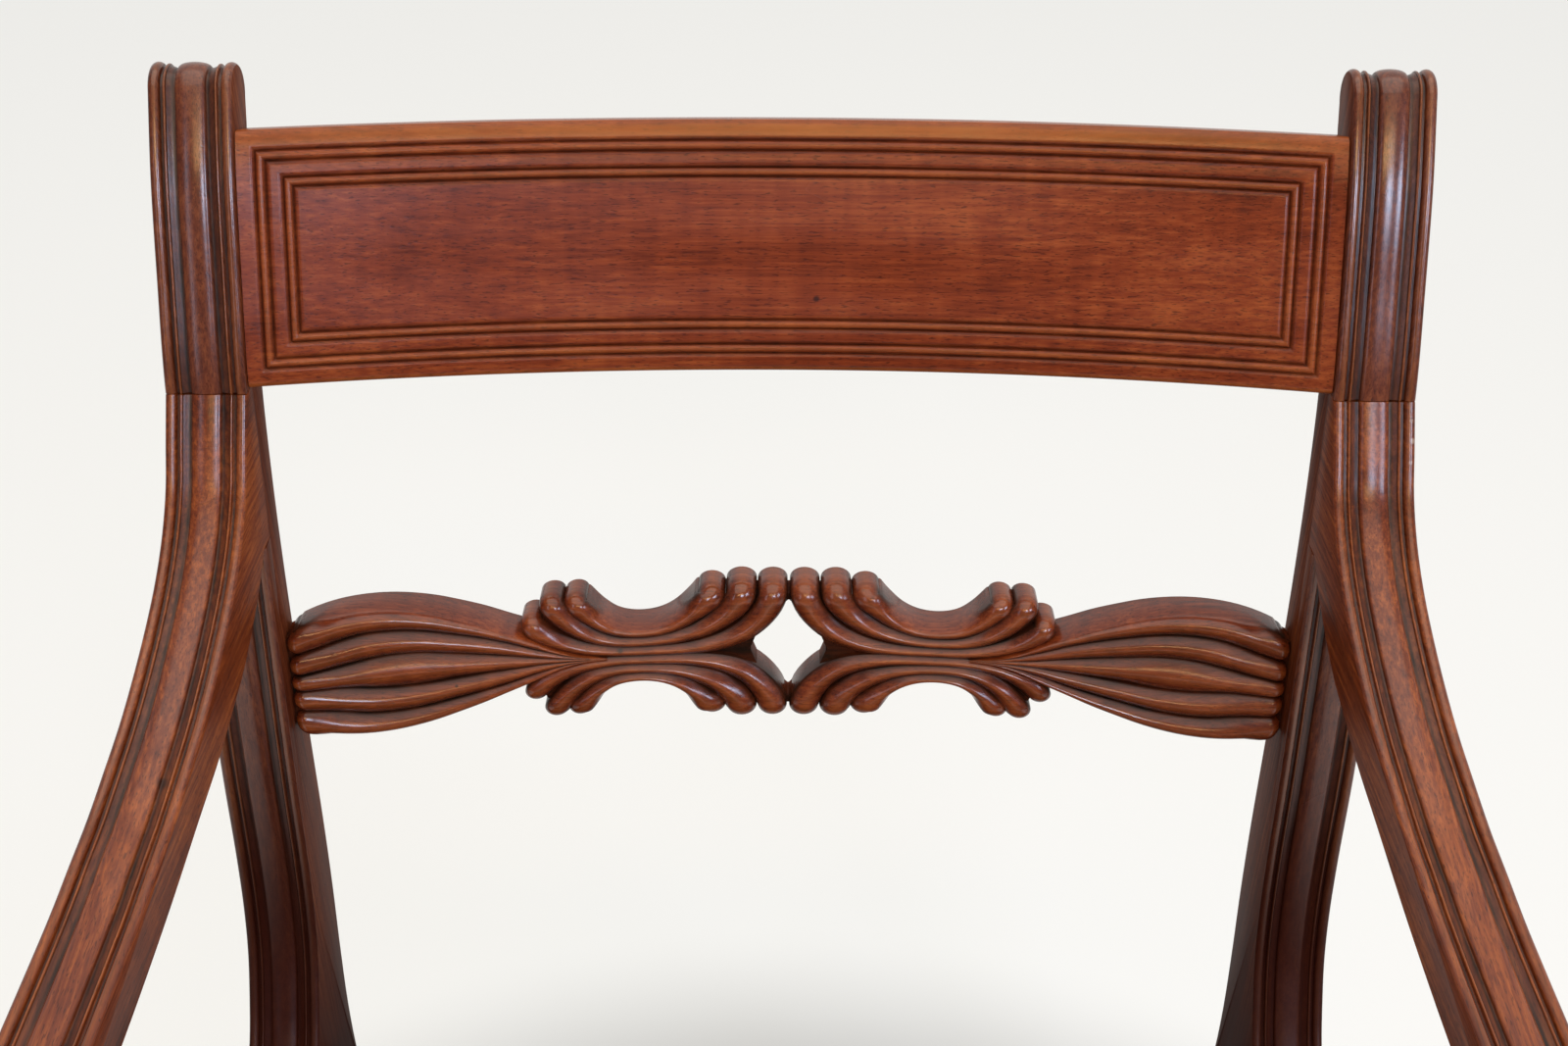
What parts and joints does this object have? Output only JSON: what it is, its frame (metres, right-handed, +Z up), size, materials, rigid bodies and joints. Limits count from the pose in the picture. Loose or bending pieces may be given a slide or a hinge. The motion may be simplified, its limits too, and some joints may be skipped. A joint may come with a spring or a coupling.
{
  "type": "open armchair",
  "caption": "Regency style mahogany open armchair with scrolled stiles, beaded crest rail, carved pierced mid rail, swept arms, sabre legs and a drop-in leather seat.",
  "frame": {"origin": "on the floor under the middle of the chair", "axes": "+Z up, the chair faces -Y, +X to the left hand of a sitter"},
  "size_m": [0.5056, 0.579, 0.857],
  "materials": {
    "mahogany": "french polished, waxed, dark in the grooves",
    "beech": "unpolished, aged",
    "black_leather": "soft sheen, worn",
    "jute": "coarse weave",
    "stuffing": "loose hair under linen",
    "steel": "dull slotted screw"
  },
  "bodies": {
    "chair_frame": {"crest_rail": "mahogany", "mid_rail": "mahogany", "back_rail": "mahogany", "front_rail": "mahogany", "ledger_back": "beech", "ledger_front": "beech", "stile_left": "mahogany", "arm_left": "mahogany", "arm_support_left": "mahogany", "side_rail_left": "mahogany", "front_leg_left": "mahogany", "ledger_left": "beech", "corner_block_front_left": "beech", "screw_front_left_rail": "steel", "screw_front_left_side": "steel", "corner_block_back_left": "beech", "screw_back_left_rail": "steel", "screw_back_left_side": "steel", "stile_right": "mahogany", "arm_right": "mahogany", "arm_support_right": "mahogany", "side_rail_right": "mahogany", "front_leg_right": "mahogany", "ledger_right": "beech", "corner_block_front_right": "beech", "screw_front_right_rail": "steel", "screw_front_right_side": "steel", "corner_block_back_right": "beech", "screw_back_right_rail": "steel", "screw_back_right_side": "steel"},
    "seat": {"seat_frame_left": "beech", "seat_frame_right": "beech", "seat_frame_back": "beech", "seat_frame_front": "beech", "webbing_long_1": "jute", "webbing_long_2": "jute", "webbing_long_3": "jute", "webbing_cross_1": "jute", "webbing_cross_2": "jute", "webbing_cross_3": "jute", "webbing_cross_4": "jute", "seat_hessian": "jute", "seat_pad": "stuffing", "seat_cover": "black_leather"}
  },
  "joints": [
    {"name": "seat_lift", "type": "slide", "parent": "chair_frame", "child": "seat", "axis": [0, 0, 1], "range_m": [0, 0.12]}
  ]
}
